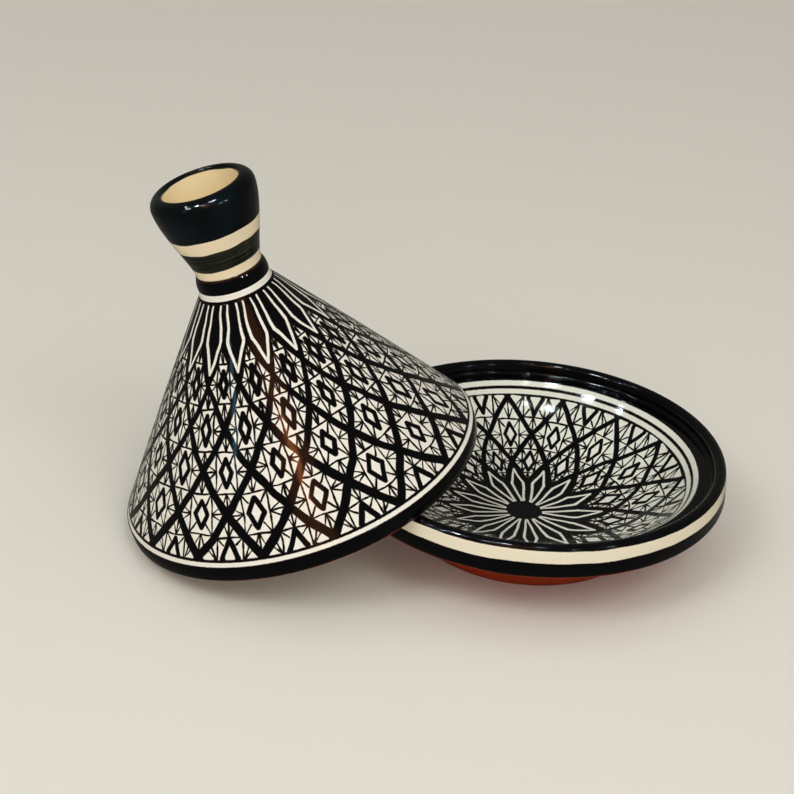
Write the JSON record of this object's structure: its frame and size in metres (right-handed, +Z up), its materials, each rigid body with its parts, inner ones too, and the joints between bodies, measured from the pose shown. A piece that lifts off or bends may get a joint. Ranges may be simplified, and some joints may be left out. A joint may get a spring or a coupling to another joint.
{
  "type": "tagine pot",
  "caption": "Glazed earthenware tagine: a shallow round dish with a foot ring, and a tall conical lid with a cup-shaped knob, leaning against the dish.",
  "frame": {"origin": "centre of the dish's foot, on the table", "axes": "+Z up; the lid leans on the dish from the -X side"},
  "size_m": [0.4638, 0.3032, 0.2888],
  "materials": {
    "dish_glaze": "glossy transparent glaze over black painted bands and a cream ground",
    "bare_clay": "unglazed red earthenware",
    "lid_glaze": "glossy cream glaze with black painted lines",
    "ring_glaze": "glossy black glaze",
    "knob_glaze": "glossy black glaze over cream, cream inside"
  },
  "bodies": {
    "dish": {"dish_bowl": "dish_glaze", "dish_foot_ring": "bare_clay"},
    "lid": {"lid_cone": "lid_glaze", "lid_neck_ring": "ring_glaze", "lid_knob": "knob_glaze"}
  },
  "joints": [
    {"name": "lid_lift", "type": "slide", "parent": "dish", "child": "lid", "axis": [0, 0, 1], "range_m": [0, 0.12]}
  ]
}
